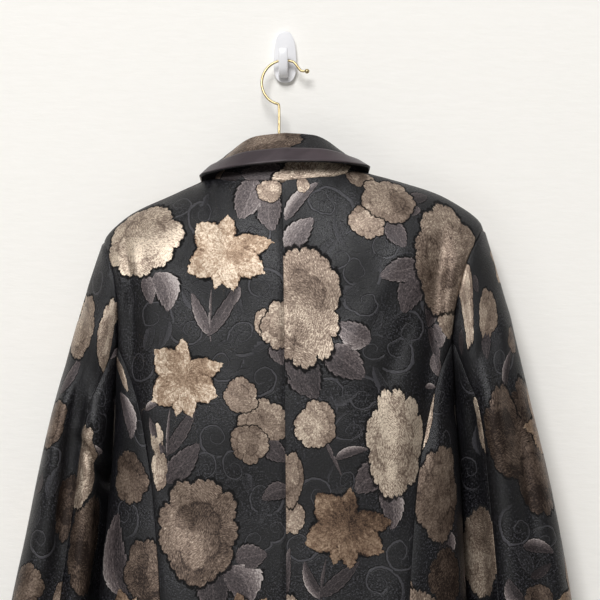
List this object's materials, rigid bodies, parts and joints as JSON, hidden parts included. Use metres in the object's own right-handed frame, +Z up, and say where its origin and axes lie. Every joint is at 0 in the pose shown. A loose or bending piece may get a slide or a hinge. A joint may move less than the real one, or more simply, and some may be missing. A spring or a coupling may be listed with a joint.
{
  "type": "tuxedo jacket on a hanger",
  "caption": "Floral brocade tuxedo jacket with a satin-edged collar, hung front to the wall on a slim hanger from an adhesive wall hook; open neck, sleeves and hem.",
  "frame": {"origin": "middle of the wall hook's flat back face, on the wall", "axes": "+X to the wearer's right and to the right of the picture, +Y into the wall, +Z up"},
  "size_m": [0.6396, 0.138, 0.8225],
  "materials": {
    "brocade": "woven with metallic flowers",
    "satin": "satin",
    "gold_wire": "polished",
    "bar_plastic": "matte",
    "hook_plastic": "gloss"
  },
  "bodies": {
    "root": {"back_left": "brocade", "back_right": "brocade", "side_panel_left": "brocade", "side_panel_right": "brocade", "front_left": "brocade", "front_right": "brocade", "upper_sleeve_left": "brocade", "upper_sleeve_right": "brocade", "under_sleeve_left": "brocade", "under_sleeve_right": "brocade", "lapel_left": "brocade", "lapel_right": "brocade", "collar_stand": "brocade", "collar_fall": "brocade", "collar_band": "satin", "lapel_band_left": "satin", "lapel_band_right": "satin", "front_button": "satin", "hanger_hook": "gold_wire", "hook_ball": "gold_wire", "hanger_bar": "bar_plastic", "wall_plate": "hook_plastic", "wall_prong": "hook_plastic"}
  },
  "joints": []
}
